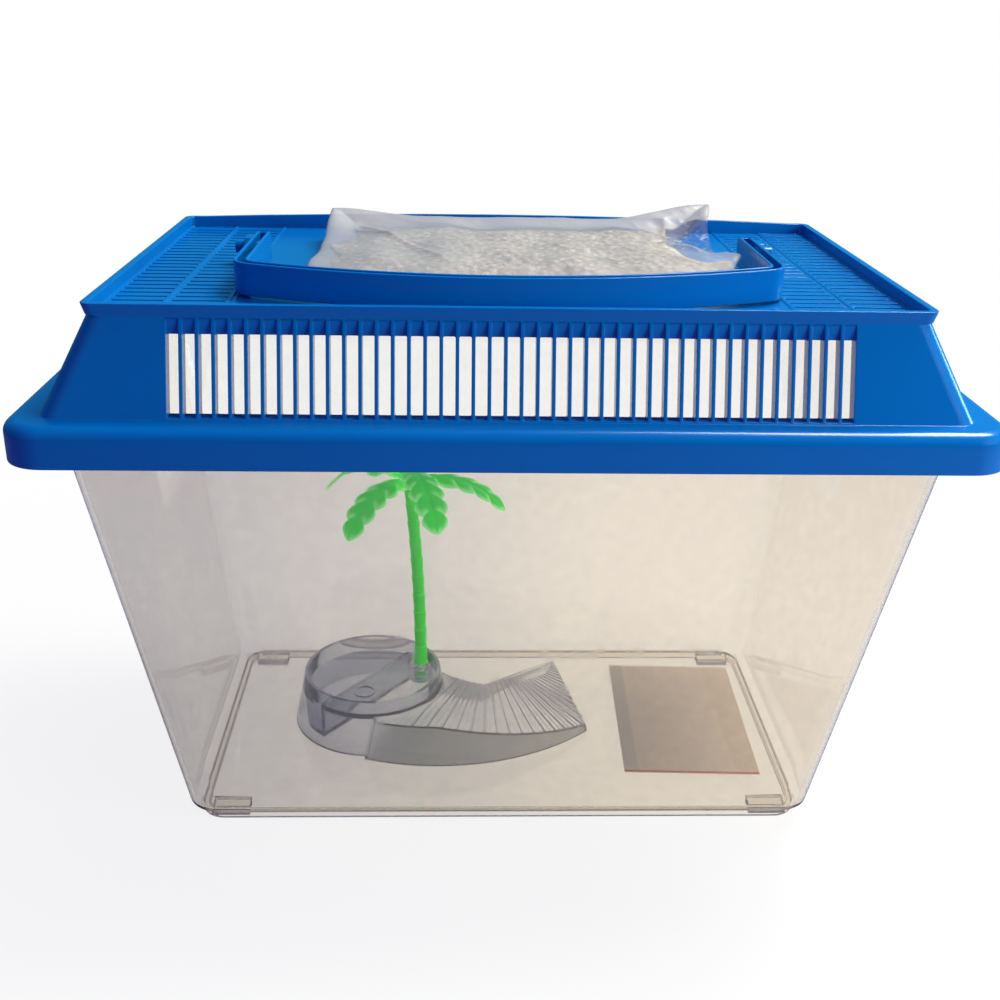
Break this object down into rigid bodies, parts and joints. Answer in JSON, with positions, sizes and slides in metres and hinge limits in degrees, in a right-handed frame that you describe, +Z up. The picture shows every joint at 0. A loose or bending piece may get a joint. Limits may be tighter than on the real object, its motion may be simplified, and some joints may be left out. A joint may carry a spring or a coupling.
{
  "type": "portable pet tank",
  "caption": "Clear tapered pet tank with a vented lift-off lid, folding handle, sliding feeding door and an island with a palm.",
  "frame": {"origin": "centre of the lid's outline in plan, on the plane of the tank's feet", "axes": "+X to the right along the length, -Y towards the front, +Z up"},
  "size_m": [0.383, 0.2384, 0.2555],
  "materials": {
    "clear_tank": "clear moulded plastic, slightly grey",
    "sticker": "plain printed label, blank",
    "blue_lid": "glossy blue moulded plastic",
    "clear_island": "clear moulded plastic, faint purple-grey tint",
    "green_trunk": "soft green moulded plastic",
    "green_leaves": "soft green moulded plastic",
    "clear_film": "thin clear film",
    "loose_filling": "pale loose filling"
  },
  "bodies": {
    "tank": {"tank_body": "clear_tank", "base_label": "sticker"},
    "lid": {"lid_hood": "blue_lid"},
    "handle": {"handle": "blue_lid"},
    "door": {"feeding_door": "blue_lid"},
    "island": {"island": "clear_island"},
    "palm": {"palm_trunk": "green_trunk", "palm_leaves_lower": "green_leaves", "palm_leaves_upper": "green_leaves"},
    "bag": {"bag_film": "clear_film", "bag_filling": "loose_filling"}
  },
  "joints": [
    {"name": "lid_lift", "type": "slide", "parent": "tank", "child": "lid", "axis": [0, 0, 1], "range_m": [0, 0.2]},
    {"name": "handle_swing", "type": "hinge", "parent": "lid", "child": "handle", "pos_m": [0, 0.002, 0.2491], "axis": [-1, 0, 0], "range_deg": [0, 180]},
    {"name": "door_slide", "type": "slide", "parent": "lid", "child": "door", "axis": [1, 0, 0], "range_m": [0, 0.064]},
    {"name": "bag_lift", "type": "slide", "parent": "lid", "child": "bag", "axis": [0, 0, 1], "range_m": [0, 0.03]},
    {"name": "island_lift", "type": "slide", "parent": "tank", "child": "island", "axis": [0, 0, 1], "range_m": [0, 0.05]},
    {"name": "palm_pull", "type": "slide", "parent": "island", "child": "palm", "axis": [0, 0, 1], "range_m": [0, 0.025]}
  ]
}
